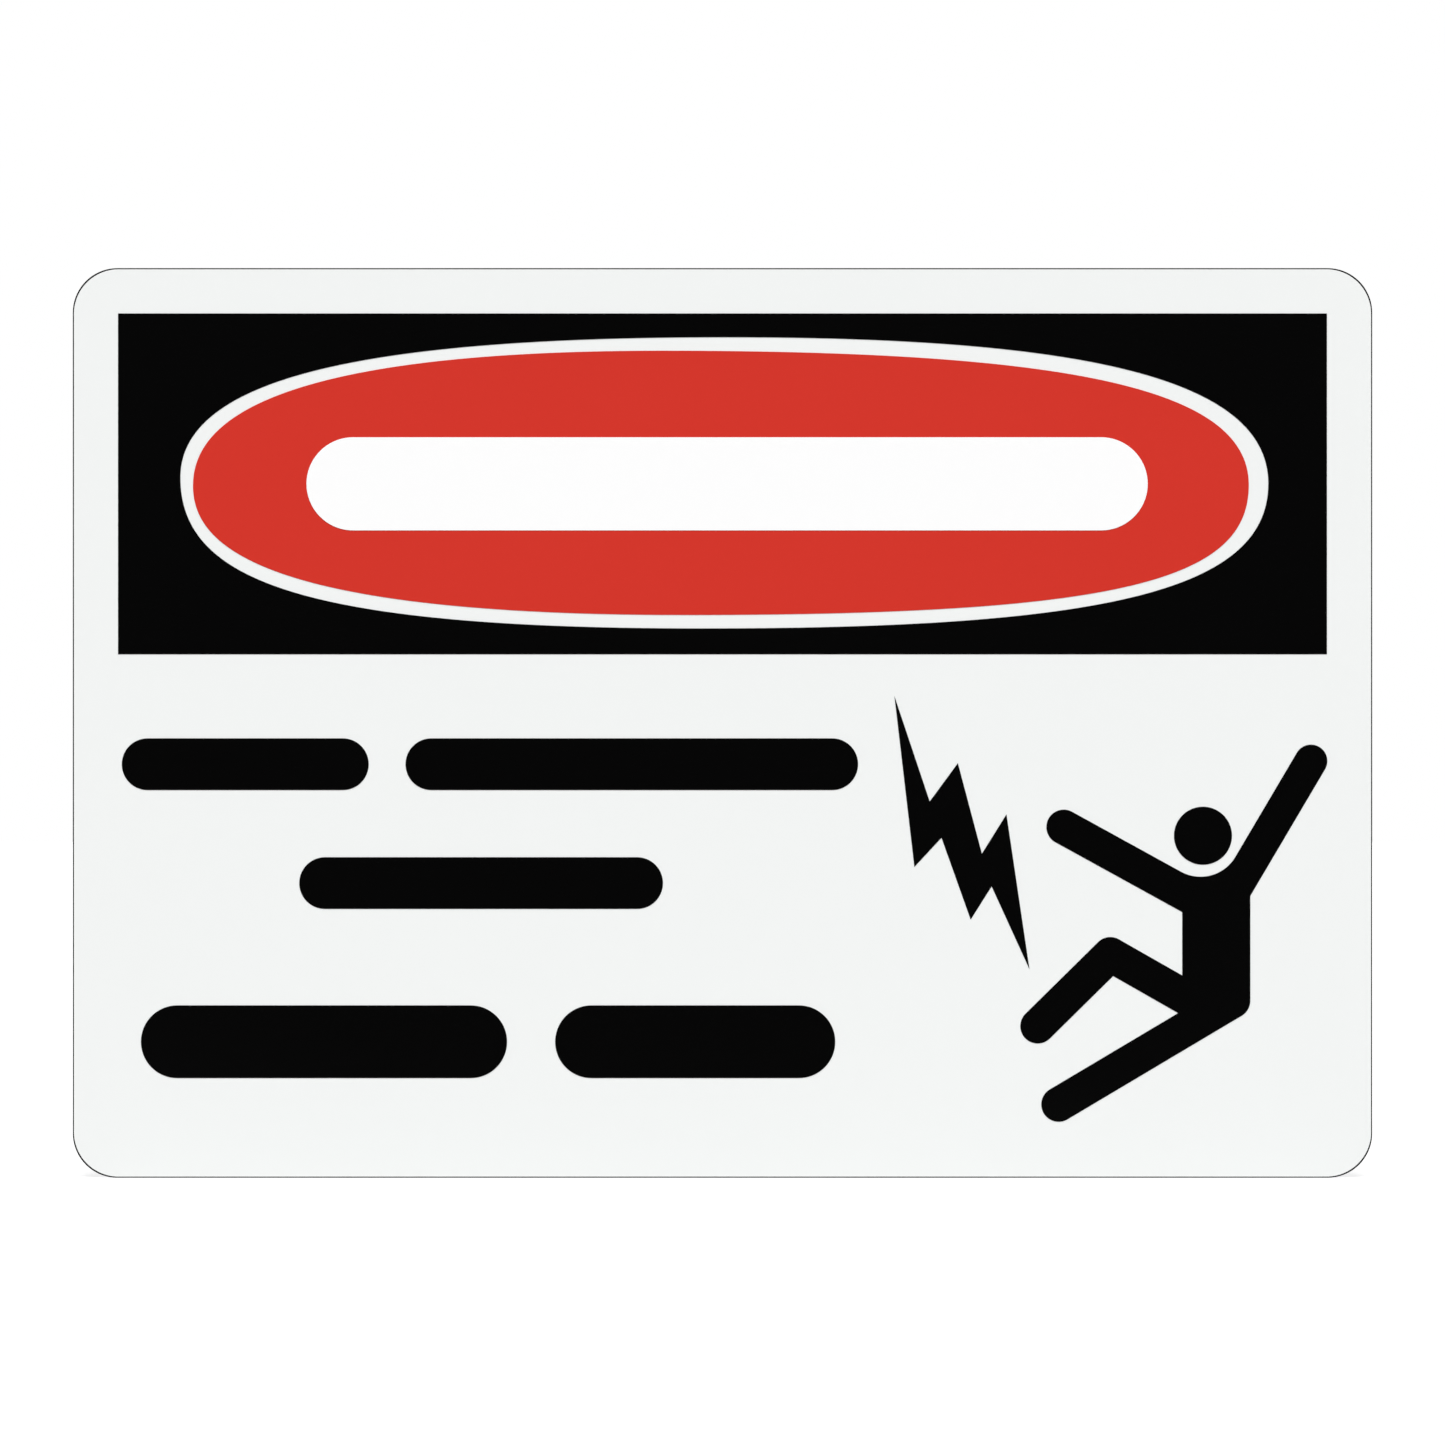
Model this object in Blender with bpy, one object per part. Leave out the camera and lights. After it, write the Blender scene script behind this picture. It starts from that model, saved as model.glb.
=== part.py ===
"""High voltage warning sign: one coated aluminium sheet and the fields printed on its face.

Metres, +Z up. The sign stands upright and faces -Y. The origin is the centre of the back face, which lies
against the wall, door or fence panel that carries the sign. Each printed field is a thin plate of one ink.
"""

import math
from collections import namedtuple

import bmesh
import bpy
from mathutils import Matrix, Vector
from mathutils.geometry import interpolate_bezier

# Sheet
SHEET_WIDTH = 0.254
SHEET_HEIGHT = 0.1778
SHEET_THICK = 0.001016
SHEET_CORNER = 0.0087
FRONT_ROLL = 0.00018  # the edge that the die draws in on the front
BACK_BREAK = 0.00005  # the burr taken off at the back
CORNER_SEGMENTS = 18
ROLL_SEGMENTS = 4
BREAK_SEGMENTS = 1
SHARP_EDGE = math.radians(30)  # edges that turn by more than this are shaded sharp

# Print, in one or two layers
PRINT_THICK = 0.00008
PRINT_LIFT = 0.00001  # between a layer and what it lies on
ARC_STEP = math.radians(5)
SAME_POINT = 0.000001  # points nearer to each other than this are one

# Header: a black field, a window in it that leaves a ring of the coating bare, and a red oval in the window
BORDER = 0.00887  # from the sheet's top and sides to the header
HEADER_HEIGHT = 0.0666
RING_SIDE_INSET = 0.01182  # from the header's ends to the ring
RING_EDGE_INSET = 0.00484  # from the header's long edges to the ring
RING_SHIFT = Vector((0.00036, 0.0002))  # from the header's centre
RING_SIDE_BAND = 0.00314
RING_EDGE_BAND = 0.00264
OVAL_SHIFT = Vector((-0.00067, 0.0))  # from the ring's centre
QUARTER_POINTS = 61
HEADER_BAR_LENGTH = 0.1644
HEADER_BAR_HEIGHT = 0.0182
HEADER_BAR_SHIFT = Vector((0.0009, 0.0))  # from the header's centre

# The top, right, lower and left points of each oval: how far clockwise they lie from the middles of its
# sides, and how long the curve's handles are there. Both are shares of the half width or the half height,
# whichever lies along that side. An ellipse would have shifts of 0 and handles of 0.552
Apex = namedtuple("Apex", "shift handle")
RING_CURVE = (Apex(0.002, 0.655), Apex(0.004, 0.727), Apex(0.039, 0.750), Apex(0.037, 0.692))
OVAL_CURVE = (Apex(-0.112, 0.788), Apex(0.016, 0.719), Apex(0.070, 0.833), Apex(-0.021, 0.409))

# Lines of message bars, in the column between the sheet's left edge and the bolt
COLUMN_MARGIN = 0.0096  # from the sheet's left edge
COLUMN_GAP = 0.0071  # to the bolt
SMALL_BAR_HEIGHT = 0.0101
SMALL_BAR_SPACE = 0.0072
LARGE_BAR_HEIGHT = 0.0142
LARGE_BAR_SPACE = 0.0094

# The rise is a share of the lower field's height, from its middle. The indent is a share of the column's
# width, and so is each bar's length once the spaces between the bars are taken off
Line = namedtuple("Line", "name rise indent height space bars")
LINES = (
    Line("upper_line", 0.290, 0.0, SMALL_BAR_HEIGHT, SMALL_BAR_SPACE, (0.353, 0.647)),
    Line("middle_line", 0.063, 0.241, SMALL_BAR_HEIGHT, SMALL_BAR_SPACE, (0.494,)),
    Line("lower_line", -0.240, 0.026, LARGE_BAR_HEIGHT, LARGE_BAR_SPACE, (0.532, 0.407)),
)

# Lightning bolt, its centre placed from the sheet's right edge and the lower field's middle height
BOLT_FROM_RIGHT = 0.0802
BOLT_RISE = 0.0163
BOLT_CORNERS = (
    (-0.0132, 0.0267),
    (-0.0063, 0.0061),
    (-0.0008, 0.0136),
    (0.0039, -0.0041),
    (0.0087, 0.0036),
    (0.0132, -0.0267),
    (0.0058, -0.0105),
    (0.0017, -0.0170),
    (-0.0040, -0.0010),
    (-0.0093, -0.0067),
)

# Struck figure. Its shoulder is placed like the bolt's centre, and its other joints are measured from there
FIGURE_FROM_RIGHT = 0.0296
FIGURE_RISE = 0.0005
SHOULDER = Vector((0.0, 0.0))
LOW_HAND = Vector((-0.0307, 0.0169))
HIGH_HAND = Vector((0.0176, 0.0298))
HIP = Vector((-0.0016, -0.0194))
KNEE = Vector((-0.0216, -0.0080))
BENT_FOOT = Vector((-0.0358, -0.0220))
STRAIGHT_FOOT = Vector((-0.0317, -0.0373))
LIMB_WIDTH = 0.0068
HIGH_ARM_WIDTH = 0.0064
TORSO_WIDTH = 0.0133
TORSO_SHIFT = -0.0009  # of its middle line from the shoulder
HEAD_CENTRE = Vector((-0.0035, 0.0152))
HEAD_RADIUS = 0.00567
NECK_GAP = 0.0022

# Colours, as red, green and blue out of 255, and how rough the surfaces are
COATING_WHITE = (242, 244, 243)
INK_WHITE = (255, 255, 255)
INK_BLACK = (4, 4, 4)
INK_RED = (211, 51, 39)
COATING_ROUGHNESS = 0.35
INK_ROUGHNESS = 0.3

Corner = namedtuple("Corner", "point radius")
Straight = namedtuple("Straight", "point along")


def clear_scene():
    for obj in list(bpy.data.objects):
        bpy.data.objects.remove(obj, do_unlink=True)


def linear(level):
    """A colour level out of 255 as the light that a screen gives it."""
    share = level / 255
    return share / 12.92 if share <= 0.04045 else ((share + 0.055) / 1.055) ** 2.4


def make_material(name, colour, roughness):
    material = bpy.data.materials.new(name)
    material.use_nodes = True
    shader = material.node_tree.nodes["Principled BSDF"]
    shader.inputs["Base Color"].default_value = (*map(linear, colour), 1.0)
    shader.inputs["Roughness"].default_value = roughness
    shader.inputs["Metallic"].default_value = 0.0
    return material


def round_edges(mesh, edges, radius, segments):
    bmesh.ops.bevel(
        mesh, geom=edges, offset=radius, offset_type="OFFSET", segments=segments,
        profile=0.5, affect="EDGES", material=-1,
    )


def rim_at(mesh, y):
    """The edges round the flat face that lies at this depth."""
    flat = [face for face in mesh.faces if all(abs(v.co.y - y) < SAME_POINT for v in face.verts)]
    return [edge for edge in mesh.edges if sum(face in flat for face in edge.link_faces) == 1]


def make_sheet(parts):
    """The blanked sheet: round corners, a drawn-in front edge and a broken back edge."""
    mesh = bmesh.new()
    bmesh.ops.create_cube(mesh, size=1.0)
    bmesh.ops.scale(mesh, vec=(SHEET_WIDTH, SHEET_THICK, SHEET_HEIGHT), verts=mesh.verts)
    bmesh.ops.translate(mesh, vec=(0, -SHEET_THICK / 2, 0), verts=mesh.verts)
    across = [edge for edge in mesh.edges if edge.verts[0].co.xz == edge.verts[1].co.xz]
    round_edges(mesh, across, SHEET_CORNER, CORNER_SEGMENTS)
    round_edges(mesh, rim_at(mesh, -SHEET_THICK), FRONT_ROLL, ROLL_SEGMENTS)
    round_edges(mesh, rim_at(mesh, 0.0), BACK_BREAK, BREAK_SEGMENTS)
    data = bpy.data.meshes.new("sign_panel")
    mesh.to_mesh(data)
    mesh.free()
    data.shade_smooth()
    data.set_sharp_from_angle(angle=SHARP_EDGE)
    data.materials.append(make_material("white_coating", COATING_WHITE, COATING_ROUGHNESS))
    sheet = bpy.data.objects.new("sign_panel", data)
    parts.objects.link(sheet)
    return sheet


def circle(radius):
    steps = round(2 * math.pi / ARC_STEP)
    angles = (2 * math.pi * step / steps for step in range(steps))
    return [Vector((radius * math.cos(angle), radius * math.sin(angle))) for angle in angles]


def oval(half_width, half_height, centre, curve):
    """A squared oval through its four outermost points, clockwise as the viewer sees it."""
    outwards = [Vector((0, 1)), Vector((1, 0)), Vector((0, -1)), Vector((-1, 0))]
    clockwise = [Vector((out.y, -out.x)) for out in outwards]
    places = [out + way * apex.shift for out, way, apex in zip(outwards, clockwise, curve)]
    handles = [way * apex.handle for way, apex in zip(clockwise, curve)]
    points = []
    for i in range(4):
        start, end = places[i - 1], places[i]
        quarter = interpolate_bezier(start, start + handles[i - 1], end - handles[i], end, QUARTER_POINTS)
        points += quarter[:-1]
    return [centre + Vector((point.x * half_width, point.y * half_height)) for point in points]


def turn(before, corner, after):
    """The corner's own point where it is sharp, or the points of the arc that rounds it."""
    if corner.radius == 0:
        return [corner.point]
    arriving = (corner.point - before.point).normalized()
    leaving = (after.point - corner.point).normalized()
    angle = math.atan2(arriving.cross(leaving), arriving.dot(leaving))
    start = corner.point - arriving * corner.radius * math.tan(abs(angle) / 2)
    inwards = Vector((-arriving.y, arriving.x)) * math.copysign(corner.radius, angle)
    steps = max(2, math.ceil(abs(angle) / ARC_STEP))
    turned = (Matrix.Rotation(angle * step / steps, 2) @ -inwards for step in range(steps + 1))
    return [start + inwards + spoke for spoke in turned]


def rounded(corners):
    """The closed outline through these corners, without points that repeat where two arcs meet."""
    outline = []
    for i, corner in enumerate(corners):
        outline += turn(corners[i - 1], corner, corners[(i + 1) % len(corners)])
    return [point for i, point in enumerate(outline) if (point - outline[i - 1]).length > SAME_POINT]


def rectangle(width, height, radius=0.0):
    signs = ((-1, -1), (1, -1), (1, 1), (-1, 1))
    return rounded([Corner(Vector((x * width / 2, z * height / 2)), radius) for x, z in signs])


def sides(start, end, width):
    """The two long edges of a limb, the one to the left of the way from start to end first."""
    along = (end - start).normalized()
    left = Vector((-along.y, along.x)) * width / 2
    return Straight(start + left, along), Straight(start - left, along)


def meet(first, second, radius=0.0):
    """The corner where two edges cross."""
    share = (second.point - first.point).cross(second.along) / first.along.cross(second.along)
    return Corner(first.point + first.along * share, radius)


def limb_end(joint, tip, width):
    """The two corners that round a limb off about its tip."""
    along = (tip - joint).normalized() * width / 2
    left = Vector((-along.y, along.x))
    return [Corner(tip + along + left, width / 2), Corner(tip + along - left, width / 2)]


def figure_outline():
    """The body below the head, clockwise as the viewer sees it, from the hand nearer the bolt."""
    torso_top = SHOULDER + Vector((TORSO_SHIFT, 0.0))
    low_arm_under, low_arm_over = sides(SHOULDER, LOW_HAND, LIMB_WIDTH)
    high_arm_inner, high_arm_outer = sides(SHOULDER, HIGH_HAND, HIGH_ARM_WIDTH)
    torso_back, torso_front = sides(torso_top, torso_top - Vector((0.0, 1.0)), TORSO_WIDTH)
    leg_under, leg_over = sides(HIP, STRAIGHT_FOOT, LIMB_WIDTH)
    thigh_under, thigh_over = sides(HIP, KNEE, LIMB_WIDTH)
    shin_inner, shin_outer = sides(KNEE, BENT_FOOT, LIMB_WIDTH)
    return rounded(
        limb_end(SHOULDER, LOW_HAND, LIMB_WIDTH)
        + [meet(low_arm_over, high_arm_inner, HEAD_RADIUS + NECK_GAP)]
        + limb_end(SHOULDER, HIGH_HAND, HIGH_ARM_WIDTH)
        + [meet(high_arm_outer, torso_back), meet(torso_back, leg_under, LIMB_WIDTH / 2)]
        + limb_end(HIP, STRAIGHT_FOOT, LIMB_WIDTH)
        + [meet(leg_over, thigh_under), meet(thigh_under, shin_inner)]
        + limb_end(KNEE, BENT_FOOT, LIMB_WIDTH)
        + [meet(shin_outer, thigh_over, LIMB_WIDTH / 2), meet(thigh_over, torso_front)]
        + [meet(torso_front, low_arm_under)]
    )


def make_print(sheet, name, ink, centre, outlines, layer=1):
    """A printed field: its outlines filled, the second one as a hole, and laid on the sheet's front."""
    curve = bpy.data.curves.new(name, "CURVE")
    curve.dimensions = "2D"
    curve.fill_mode = "BOTH"
    curve.extrude = PRINT_THICK / 2
    for outline in outlines:
        spline = curve.splines.new("POLY")
        spline.points.add(len(outline) - 1)
        for target, point in zip(spline.points, outline):
            target.co = (point.x, point.y, 0.0, 1.0)
        spline.use_cyclic_u = True
    curve.materials.append(ink)
    field = bpy.data.objects.new(name, curve)
    field.rotation_euler.x = math.radians(90)
    front = SHEET_THICK + layer * (PRINT_LIFT + PRINT_THICK)
    field.location = (centre.x, PRINT_THICK / 2 - front, centre.y)
    field.parent = sheet
    sheet.users_collection[0].objects.link(field)


def make_header(sheet, black, red, white):
    width = SHEET_WIDTH - 2 * BORDER
    centre = Vector((0.0, SHEET_HEIGHT / 2 - BORDER - HEADER_HEIGHT / 2))
    ring_half_width = width / 2 - RING_SIDE_INSET
    ring_half_height = HEADER_HEIGHT / 2 - RING_EDGE_INSET
    window = oval(ring_half_width, ring_half_height, RING_SHIFT, RING_CURVE)
    make_print(sheet, "header_field", black, centre, [rectangle(width, HEADER_HEIGHT), window])
    red_half_width = ring_half_width - RING_SIDE_BAND
    red_half_height = ring_half_height - RING_EDGE_BAND
    red_outline = oval(red_half_width, red_half_height, RING_SHIFT + OVAL_SHIFT, OVAL_CURVE)
    make_print(sheet, "header_oval", red, centre, [red_outline])
    bar = rectangle(HEADER_BAR_LENGTH, HEADER_BAR_HEIGHT, HEADER_BAR_HEIGHT / 2)
    make_print(sheet, "header_bar", white, centre + HEADER_BAR_SHIFT, [bar], layer=2)


def lower_middle():
    """The height midway between the header and the sheet's lower edge."""
    return -(BORDER + HEADER_HEIGHT) / 2


def bolt_centre():
    return Vector((SHEET_WIDTH / 2 - BOLT_FROM_RIGHT, lower_middle() + BOLT_RISE))


def make_lines(sheet, black):
    field_height = SHEET_HEIGHT - BORDER - HEADER_HEIGHT
    left = COLUMN_MARGIN - SHEET_WIDTH / 2
    right = bolt_centre().x + min(x for x, z in BOLT_CORNERS) - COLUMN_GAP
    for line in LINES:
        x = left + line.indent * (right - left)
        room = right - left - line.space * (len(line.bars) - 1)
        for number, share in enumerate(line.bars, start=1):
            length = share * room
            centre = Vector((x + length / 2, lower_middle() + line.rise * field_height))
            bar = rectangle(length, line.height, line.height / 2)
            make_print(sheet, f"{line.name}_bar_{number}", black, centre, [bar])
            x += length + line.space


def make_pictogram(sheet, black):
    make_print(sheet, "lightning_bolt", black, bolt_centre(), [[Vector(corner) for corner in BOLT_CORNERS]])
    shoulder = Vector((SHEET_WIDTH / 2 - FIGURE_FROM_RIGHT, lower_middle() + FIGURE_RISE))
    make_print(sheet, "figure_body", black, shoulder, [figure_outline()])
    make_print(sheet, "figure_head", black, shoulder + HEAD_CENTRE, [circle(HEAD_RADIUS)])


def main():
    clear_scene()
    parts = bpy.data.collections.new("high_voltage_sign")
    bpy.context.scene.collection.children.link(parts)
    black = make_material("black_ink", INK_BLACK, INK_ROUGHNESS)
    red = make_material("red_ink", INK_RED, INK_ROUGHNESS)
    white = make_material("white_ink", INK_WHITE, INK_ROUGHNESS)
    sheet = make_sheet(parts)
    make_header(sheet, black, red, white)
    make_lines(sheet, black)
    make_pictogram(sheet, black)


main()
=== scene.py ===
"""The looks of an electrical warning sign: its coating, inks, cut edge and bare back, in a white studio.

Metres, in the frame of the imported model: the sign stands upright, faces -Y and has its back at y = 0.
"""

import math
from collections import namedtuple

import bmesh
import bpy
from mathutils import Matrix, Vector


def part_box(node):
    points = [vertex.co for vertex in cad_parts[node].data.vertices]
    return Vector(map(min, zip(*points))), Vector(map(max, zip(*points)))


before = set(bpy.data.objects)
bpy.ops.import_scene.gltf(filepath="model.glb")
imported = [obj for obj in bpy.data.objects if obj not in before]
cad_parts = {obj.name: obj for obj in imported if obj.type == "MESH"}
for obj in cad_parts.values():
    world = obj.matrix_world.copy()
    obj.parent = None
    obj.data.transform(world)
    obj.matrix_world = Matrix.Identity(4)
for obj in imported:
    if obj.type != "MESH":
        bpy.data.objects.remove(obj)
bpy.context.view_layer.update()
sheet_low, sheet_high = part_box("sign_panel")

# The photograph, and where the sign lies in it
PHOTO_SIDE_PX = 1445
SIGN_WIDTH_PX = 1299.6
SIGN_BELOW_CENTRE_PX = 0.45
LENS_MM = 180
SENSOR_MM = 36
LEVEL = math.radians(90)  # turns a camera or a lamp from looking straight down to looking level

# Light
STUDIO_LIGHT = 0.45
SUN_STRENGTH = 2.5
SUN_HEIGHT = math.radians(45)
SUN_SPREAD = math.radians(30)

# Floor. The glow is what it shows to the camera before any light falls on it
FLOOR_RADIUS = 4.0
FLOOR_SEGMENTS = 96
FLOOR_GAP = 0.00002  # from the sheet
FLOOR_PALE = 0.5
FLOOR_GLOW = 0.6

# Tent, a part of a sphere about the sign. The shade is its light straight ahead of the face and within the
# first angle from there, and the sheen is its light beyond the second. It is made from an icosphere, because
# a sphere of rings isn't the same to the last digit in each run
TENT_RADIUS = 0.6
TENT_SUBDIVISIONS = 4
TENT_MOUTH = -0.003  # just in front of the face
TENT_SHADE = 0.03
TENT_SHEEN = 0.18
TENT_DARK_WITHIN = math.radians(20)
TENT_LIGHT_BEYOND = math.radians(65)
STRAIGHT_AHEAD = Vector((0.0, -1.0, 0.0))

# A painted shadow line along the edge, of dark bare metal where the coating stops at the cut: its width along
# the sides, and its depth behind the face. The coating's corners have the sheet's own radius, so the line is
# wider round them
EDGE_SHADOW_LINE = (40, 41, 42)
EDGE_SHADOW_WIDTH = 0.00024
EDGE_SHADOW_DEPTH = 0.00018
CORNER_RADIUS = 0.0087
DEPTH_LEFT_OUT = 1.0  # more than any depth in the sheet, so that distances are across the face alone
FLAT = 0.000002  # what lies nearer to the plane of the back than this is the back

# The coating and the inks. A colour here is red, green and blue out of 255, and a change is how far the
# tone or the roughness differs from place to place
Film = namedtuple("Film", "levels tone_change roughness")
COATING = Film((242, 244, 243), 0.01, 0.3)
BLACK_INK = Film((4, 4, 4), 0.3, 0.2)
RED_INK = Film((211, 51, 39), 0.04, 0.22)
WHITE_INK = Film((252, 252, 252), 0.01, 0.25)
FILM_ROUGHNESS_CHANGE = 0.1
INK_MIRROR = 0.35  # how strongly ink mirrors, where the coating keeps the shader's own 0.5

# Bare metal. Its lines are waves in a metre along X, Y and Z, and their depth is in micrometres
Metal = namedtuple("Metal", "levels tone_change roughness lines line_depth")
SHEARED_EDGE = Metal((158, 160, 162), 0.6, 0.6, (8000.0, 1200.0, 8000.0), 2.0)
MILL_BACK = Metal((196, 198, 201), 0.25, 0.33, (20.0, 1.0, 5000.0), 0.6)
METAL_ROUGHNESS_CHANGE = 0.2

# Noise: the size of its waves, and how many times finer waves are added to them
Grain = namedtuple("Grain", "size detail")
CLOUDS = Grain(0.03, 2.0)
SPECKS = Grain(0.0004, 1.0)
SPECK_SHARE = 0.4
PEEL = Grain(0.0013, 1.0)
PEEL_DEPTH = 2.0  # micrometres
DRAWN_LINES = Grain(1.0, 3.0)
MICROMETRE = 0.000001

# Kinds of socket on a node group
NUMBER = "NodeSocketFloat"
COLOUR = "NodeSocketColor"
THREE_NUMBERS = "NodeSocketVector"


def linear(level):
    """A colour level out of 255 as the light that a screen gives it."""
    share = level / 255
    return share / 12.92 if share <= 0.04045 else ((share + 0.055) / 1.055) ** 2.4


def colour(levels):
    return (*map(linear, levels), 1.0)


def grey(light):
    return (light, light, light, 1.0)


# Node trees


def feed(tree, socket, value):
    """Gives an input a value, or the output that feeds it."""
    if isinstance(value, bpy.types.NodeSocket):
        tree.links.new(value, socket)
    else:
        socket.default_value = value


def add(tree, kind, inputs=None, **settings):
    node = tree.nodes.new(kind)
    for name, value in settings.items():
        setattr(node, name, value)
    for name, value in (inputs or {}).items():
        feed(tree, node.inputs[name], value)
    return node


def work_out(tree, operation, *values):
    inputs = dict(enumerate(values))
    return add(tree, "ShaderNodeMath", inputs, operation=operation).outputs[0]


def work_out_vector(tree, operation, *values):
    inputs = dict(enumerate(values))
    return add(tree, "ShaderNodeVectorMath", inputs, operation=operation).outputs


# A Mix node has inputs of the same name for each kind of value, so they are called by number


def either(tree, share, first, second):
    """The first number where the share is 0, and the second where it is 1."""
    return add(tree, "ShaderNodeMix", {0: share, 2: first, 3: second}, data_type="FLOAT").outputs[0]


def either_colour(tree, share, first, second):
    return add(tree, "ShaderNodeMix", {0: share, 6: first, 7: second}, data_type="RGBA").outputs[2]


def object_place(tree):
    return add(tree, "ShaderNodeTexCoord").outputs["Object"]


def noise(tree, place, grain):
    inputs = {"Vector": place, "Scale": 1 / grain.size, "Detail": grain.detail}
    return add(tree, "ShaderNodeTexNoise", inputs).outputs[0]


def around(tree, value, middle, change):
    """The middle, raised or lowered by a share of the change as noise about 0.5 rises or falls."""
    uneven = work_out(tree, "SUBTRACT", value, 0.5)
    return work_out(tree, "MULTIPLY_ADD", uneven, change, middle)


# Node groups


def new_group(name, own_inputs):
    """A group for an uneven surface, what it is given, and the colour, roughness and height that it gives."""
    group = bpy.data.node_groups.new(name, "ShaderNodeTree")
    inputs = {"Colour": COLOUR, "Tone Change": NUMBER, "Roughness": NUMBER, "Roughness Change": NUMBER}
    for socket, kind in {**inputs, **own_inputs}.items():
        group.interface.new_socket(socket, in_out="INPUT", socket_type=kind)
    for socket, kind in {"Colour": COLOUR, "Roughness": NUMBER, "Height": NUMBER}.items():
        group.interface.new_socket(socket, in_out="OUTPUT", socket_type=kind)
    given = group.nodes.new("NodeGroupInput").outputs
    result = group.nodes.new("NodeGroupOutput").inputs
    return group, given, result


def vary(group, given, result, uneven):
    """Lets the tone and the roughness follow a noise about 0.5."""
    tone = around(group, uneven, 1.0, given["Tone Change"])
    toned = add(group, "ShaderNodeVectorMath", {0: given["Colour"], "Scale": tone}, operation="SCALE")
    feed(group, result["Colour"], toned.outputs["Vector"])
    feed(group, result["Roughness"], around(group, uneven, given["Roughness"], given["Roughness Change"]))


def make_film_skin():
    """The skin of a dried coating or ink: uneven tone and gloss, in clouds and specks, and orange peel."""
    group, given, result = new_group("film_skin", {"Peel Depth": NUMBER})
    place = object_place(group)
    clouds = noise(group, place, CLOUDS)
    specks = noise(group, place, SPECKS)
    vary(group, given, result, either(group, SPECK_SHARE, clouds, specks))
    peel = noise(group, place, PEEL)
    feed(group, result["Height"], work_out(group, "MULTIPLY", peel, given["Peel Depth"]))
    return group


def make_drawn_metal():
    """Bare metal with fine lines, as rolling and shearing leave them: noise drawn out along one axis."""
    group, given, result = new_group("drawn_metal", {"Lines": THREE_NUMBERS, "Line Depth": NUMBER})
    drawn = work_out_vector(group, "MULTIPLY", object_place(group), given["Lines"])["Vector"]
    lines = noise(group, drawn, DRAWN_LINES)
    vary(group, given, result, lines)
    feed(group, result["Height"], work_out(group, "MULTIPLY", lines, given["Line Depth"]))
    return group


def place_group(tree, group, finish, roughness_change, own_inputs):
    """Places a group for a film or a metal, and returns its outputs."""
    node = add(tree, "ShaderNodeGroup", node_tree=group)
    inputs = {
        "Colour": colour(finish.levels),
        "Tone Change": finish.tone_change,
        "Roughness": finish.roughness,
        "Roughness Change": roughness_change,
    }
    for name, value in {**inputs, **own_inputs}.items():
        feed(tree, node.inputs[name], value)
    return node.outputs


def place_film(tree, film_skin, film):
    return place_group(tree, film_skin, film, FILM_ROUGHNESS_CHANGE, {"Peel Depth": PEEL_DEPTH})


def place_metal(tree, drawn_metal, metal):
    own_inputs = {"Lines": metal.lines, "Line Depth": metal.line_depth}
    return place_group(tree, drawn_metal, metal, METAL_ROUGHNESS_CHANGE, own_inputs)


# Materials


def new_material(name):
    material = bpy.data.materials.new(name)
    material.use_nodes = True
    return material, material.node_tree, material.node_tree.nodes["Principled BSDF"]


def raise_skin(tree, shader, height):
    """Turns a height in micrometres into a bump."""
    bump = add(tree, "ShaderNodeBump", {"Height": height, "Distance": MICROMETRE, "Strength": 1.0})
    feed(tree, shader.inputs["Normal"], bump.outputs["Normal"])


def make_ink(name, film_skin, ink):
    material, tree, shader = new_material(name)
    skin = place_film(tree, film_skin, ink)
    feed(tree, shader.inputs["Base Color"], skin["Colour"])
    feed(tree, shader.inputs["Roughness"], skin["Roughness"])
    feed(tree, shader.inputs["Specular IOR Level"], INK_MIRROR)
    raise_skin(tree, shader, skin["Height"])
    return material


def past_coating(tree):
    """1 between the coating and the outline of the sheet, where the face has the painted shadow line, and 0
    on the coating.
    """
    inset = EDGE_SHADOW_WIDTH + CORNER_RADIUS
    corner_centre = Vector((sheet_high.x - inset, DEPTH_LEFT_OUT, sheet_high.z - inset))
    place = work_out_vector(tree, "ABSOLUTE", object_place(tree))["Vector"]
    beyond = work_out_vector(tree, "SUBTRACT", place, corner_centre)["Vector"]
    beyond = work_out_vector(tree, "MAXIMUM", beyond, Vector())["Vector"]
    distance = work_out_vector(tree, "LENGTH", beyond)["Value"]
    return work_out(tree, "GREATER_THAN", distance, CORNER_RADIUS)


def make_sheet_finish(film_skin, drawn_metal):
    """White coating, a painted shadow line of dark bare metal where it is cut, sheared metal round the edge
    and a mill-finish back.
    """
    material, tree, shader = new_material("coated_aluminium")
    depth = add(tree, "ShaderNodeSeparateXYZ", {0: object_place(tree)}).outputs["Y"]
    side = work_out(tree, "GREATER_THAN", depth, sheet_low.y + EDGE_SHADOW_DEPTH)
    back = work_out(tree, "GREATER_THAN", depth, sheet_high.y - FLAT)
    bare = work_out(tree, "MAXIMUM", side, past_coating(tree))
    coating = place_film(tree, film_skin, COATING)
    sheared = place_metal(tree, drawn_metal, SHEARED_EDGE)
    mill = place_metal(tree, drawn_metal, MILL_BACK)
    metal_colour = either_colour(tree, back, sheared["Colour"], mill["Colour"])
    # Painted shade: the dark shadow line on the face's outer band and the front of the edge, before the
    # sheared metal
    shadow_line_and_metal_colour = either_colour(tree, side, colour(EDGE_SHADOW_LINE), metal_colour)
    feed(tree, shader.inputs["Base Color"], either_colour(tree, bare, coating["Colour"], shadow_line_and_metal_colour))
    bare_roughness = either(tree, back, sheared["Roughness"], mill["Roughness"])
    feed(tree, shader.inputs["Roughness"], either(tree, bare, coating["Roughness"], bare_roughness))
    feed(tree, shader.inputs["Metallic"], bare)
    bare_height = either(tree, back, sheared["Height"], mill["Height"])
    raise_skin(tree, shader, either(tree, bare, coating["Height"], bare_height))
    return material


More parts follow.
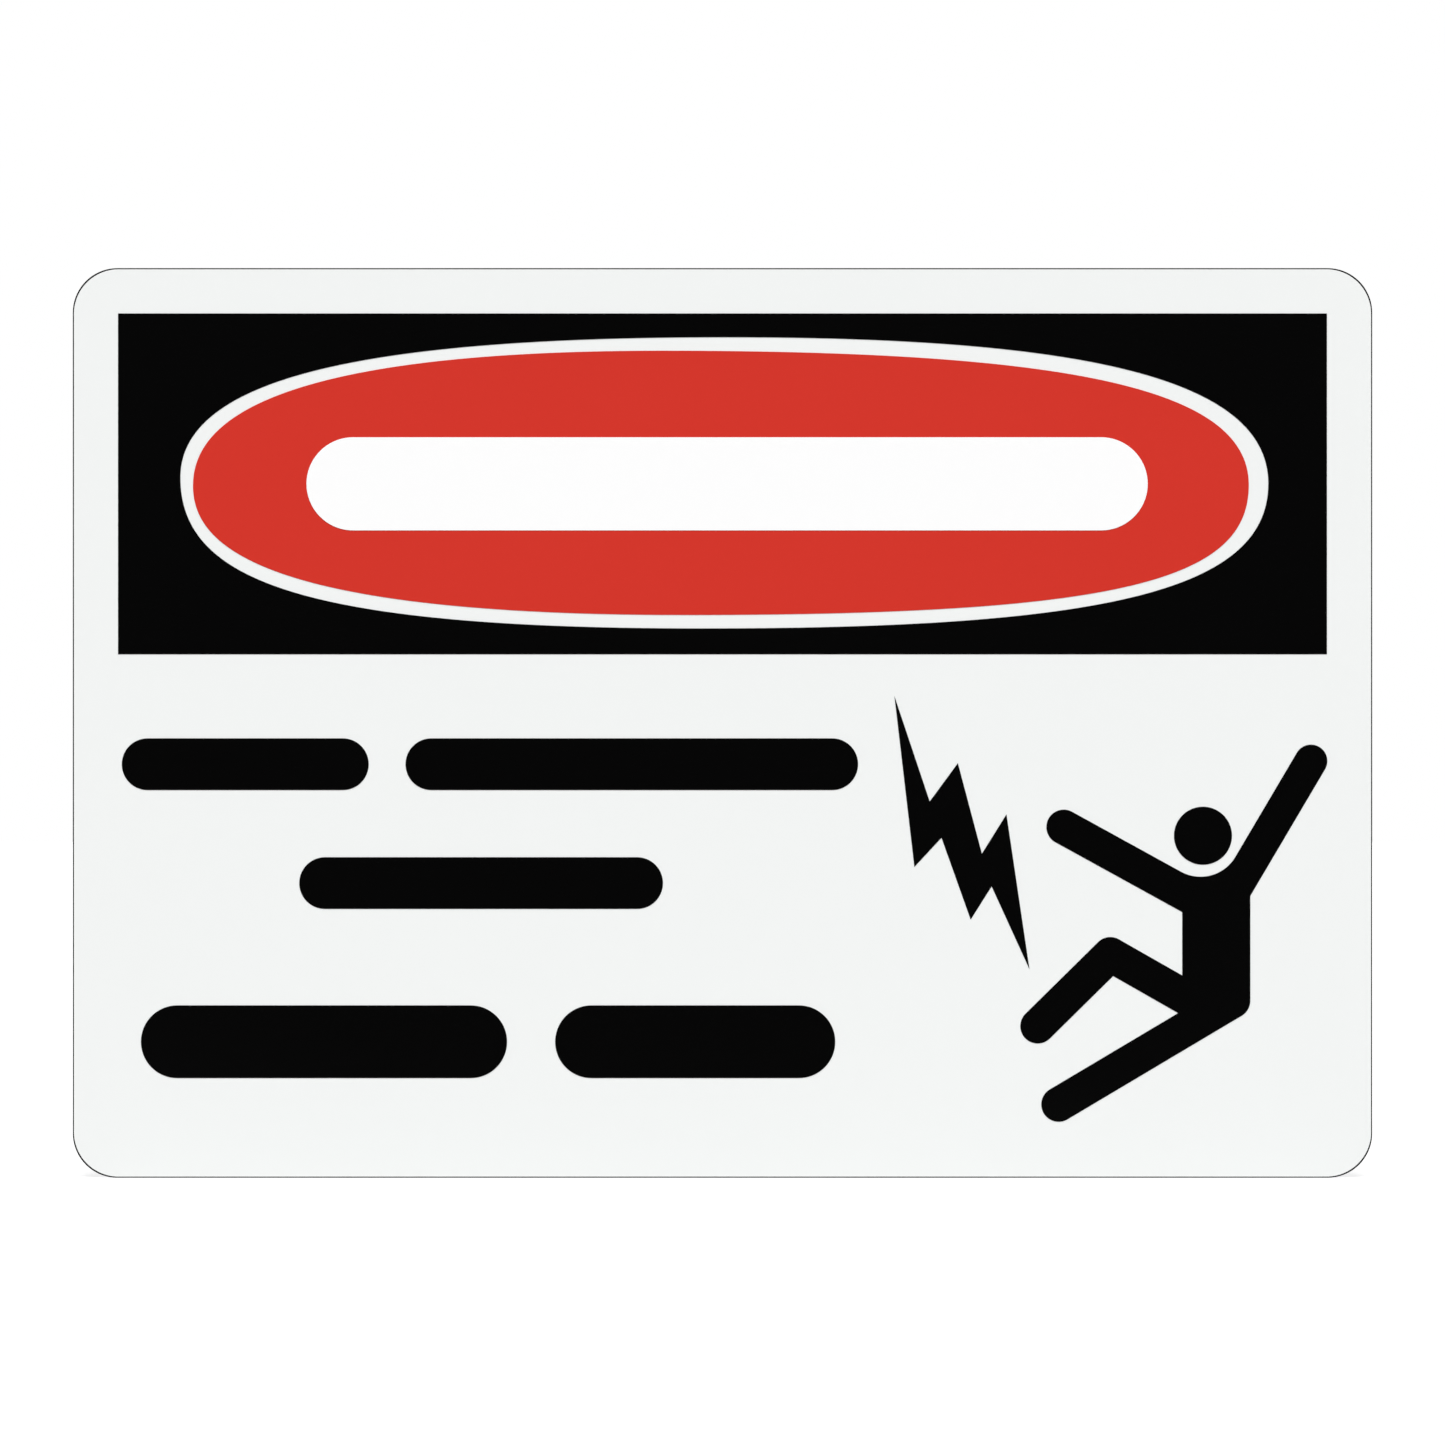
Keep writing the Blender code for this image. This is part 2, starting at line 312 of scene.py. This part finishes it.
def finish_sign():
    film_skin = make_film_skin()
    drawn_metal = make_drawn_metal()
    finishes = {
        "sign_panel": make_sheet_finish(film_skin, drawn_metal),
        "header_oval": make_ink("red_ink_finish", film_skin, RED_INK),
        "header_bar": make_ink("white_ink_finish", film_skin, WHITE_INK),
    }
    black_finish = make_ink("black_ink_finish", film_skin, BLACK_INK)
    for name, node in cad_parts.items():
        for slot in node.material_slots:
            slot.material = finishes.get(name, black_finish)


# Studio


def put_in_scene(thing):
    bpy.context.scene.collection.objects.link(thing)


def stand_in_studio(name, mesh, material):
    data = bpy.data.meshes.new(name)
    mesh.to_mesh(data)
    mesh.free()
    data.materials.append(material)
    piece = bpy.data.objects.new(name, data)
    put_in_scene(piece)
    return piece


def new_surface(name):
    """A material with no shader yet, and the input that takes one."""
    material, tree, shader = new_material(name)
    tree.nodes.remove(shader)
    return material, tree, tree.nodes["Material Output"].inputs["Surface"]


def make_floor():
    """A pale floor. To the camera and in reflections it glows, so that only the heart of the shadow shows."""
    material, tree, surface = new_surface("floor_white")
    plain = add(tree, "ShaderNodeBsdfDiffuse", {"Color": grey(FLOOR_PALE)}).outputs[0]
    lit = add(tree, "ShaderNodeBsdfDiffuse", {"Color": grey(FLOOR_GLOW)}).outputs[0]
    glow = add(tree, "ShaderNodeEmission", {"Strength": FLOOR_GLOW}).outputs[0]
    shown = add(tree, "ShaderNodeAddShader", {0: lit, 1: glow}).outputs[0]
    path = add(tree, "ShaderNodeLightPath").outputs
    seen = work_out(tree, "MAXIMUM", path["Is Camera Ray"], path["Is Glossy Ray"])
    feed(tree, surface, add(tree, "ShaderNodeMixShader", {0: seen, 1: plain, 2: shown}).outputs[0])
    mesh = bmesh.new()
    bmesh.ops.create_circle(mesh, cap_ends=True, radius=FLOOR_RADIUS, segments=FLOOR_SEGMENTS)
    bmesh.ops.translate(mesh, vec=(0.0, 0.0, sheet_low.z - FLOOR_GAP), verts=mesh.verts)
    stand_in_studio("floor", mesh, material)


def make_tent_cloth():
    """Cloth that is dark straight ahead of the face and lighter towards the tent's sides."""
    material, tree, surface = new_surface("tent_dark")
    outwards = work_out_vector(tree, "NORMALIZE", object_place(tree))["Vector"]
    ahead = work_out_vector(tree, "DOT_PRODUCT", outwards, STRAIGHT_AHEAD)["Value"]
    ranges = {
        "Value": ahead,
        "From Min": math.cos(TENT_DARK_WITHIN),
        "From Max": math.cos(TENT_LIGHT_BEYOND),
        "To Min": TENT_SHADE,
        "To Max": TENT_SHEEN,
    }
    shade = add(tree, "ShaderNodeMapRange", ranges, interpolation_type="SMOOTHSTEP").outputs[0]
    feed(tree, surface, add(tree, "ShaderNodeEmission", {"Color": shade}).outputs[0])
    return material


def cut_away(mesh, place, towards):
    """Cuts the mesh by a plane, removes what lies beyond it and returns the edges of the cut."""
    geometry = mesh.verts[:] + mesh.edges[:] + mesh.faces[:]
    cut = bmesh.ops.bisect_plane(mesh, geom=geometry, plane_co=place, plane_no=towards, clear_outer=True)
    return [part for part in cut["geom_cut"] if isinstance(part, bmesh.types.BMEdge)]


def make_tent():
    """A tent in front of the face, seen by its reflections alone: black ink mirrors no white in it, and has a
    soft sheen from the sides. It is open at the back and closed below, between the sheet and the floor."""
    mesh = bmesh.new()
    bmesh.ops.create_icosphere(mesh, subdivisions=TENT_SUBDIVISIONS, radius=TENT_RADIUS)
    rim = cut_away(mesh, (0.0, 0.0, sheet_low.z - FLOOR_GAP / 2), (0.0, 0.0, -1.0))
    bmesh.ops.edgenet_fill(mesh, edges=rim)
    cut_away(mesh, (0.0, TENT_MOUTH, 0.0), (0.0, 1.0, 0.0))
    tent = stand_in_studio("dark_tent", mesh, make_tent_cloth())
    tent.visible_camera = False
    tent.visible_diffuse = False
    tent.visible_transmission = False
    tent.visible_shadow = False


def make_world():
    """Even soft light, and pure white where the camera or a reflection looks past everything."""
    world = bpy.data.worlds.new("white_studio")
    world.use_nodes = True
    tree = world.node_tree
    light = tree.nodes["Background"]
    feed(tree, light.inputs["Color"], grey(1.0))
    feed(tree, light.inputs["Strength"], STUDIO_LIGHT)
    white = add(tree, "ShaderNodeBackground", {"Color": grey(1.0), "Strength": 1.0}).outputs[0]
    path = add(tree, "ShaderNodeLightPath").outputs
    mirrored = work_out(tree, "MAXIMUM", path["Is Glossy Ray"], path["Is Transmission Ray"])
    seen = work_out(tree, "MAXIMUM", path["Is Camera Ray"], mirrored)
    surface = add(tree, "ShaderNodeMixShader", {0: seen, 1: light.outputs[0], 2: white}).outputs[0]
    feed(tree, tree.nodes["World Output"].inputs["Surface"], surface)
    bpy.context.scene.world = world


def make_sun():
    """The softbox above the camera. Its shadow falls straight behind the sign, and nothing mirrors it."""
    lamp = bpy.data.lights.new("softbox", "SUN")
    lamp.energy = SUN_STRENGTH
    lamp.angle = SUN_SPREAD
    sun = bpy.data.objects.new("softbox", lamp)
    sun.rotation_euler.x = LEVEL - SUN_HEIGHT
    sun.visible_glossy = False
    put_in_scene(sun)


def make_camera():
    """Straight in front of the face, with the sign as wide in the frame as it is in the photograph."""
    data = bpy.data.cameras.new("camera")
    data.lens = LENS_MM
    data.sensor_width = SENSOR_MM
    sign_width = sheet_high.x - sheet_low.x
    frame_width = sign_width * PHOTO_SIDE_PX / SIGN_WIDTH_PX
    camera = bpy.data.objects.new("camera", data)
    camera.location.y = sheet_low.y - frame_width * LENS_MM / SENSOR_MM
    camera.location.z = SIGN_BELOW_CENTRE_PX / PHOTO_SIDE_PX * frame_width
    camera.rotation_euler.x = LEVEL
    put_in_scene(camera)
    bpy.context.scene.camera = camera


finish_sign()
make_floor()
make_tent()
make_world()
make_sun()
make_camera()
bpy.context.scene.view_settings.view_transform = "Standard"
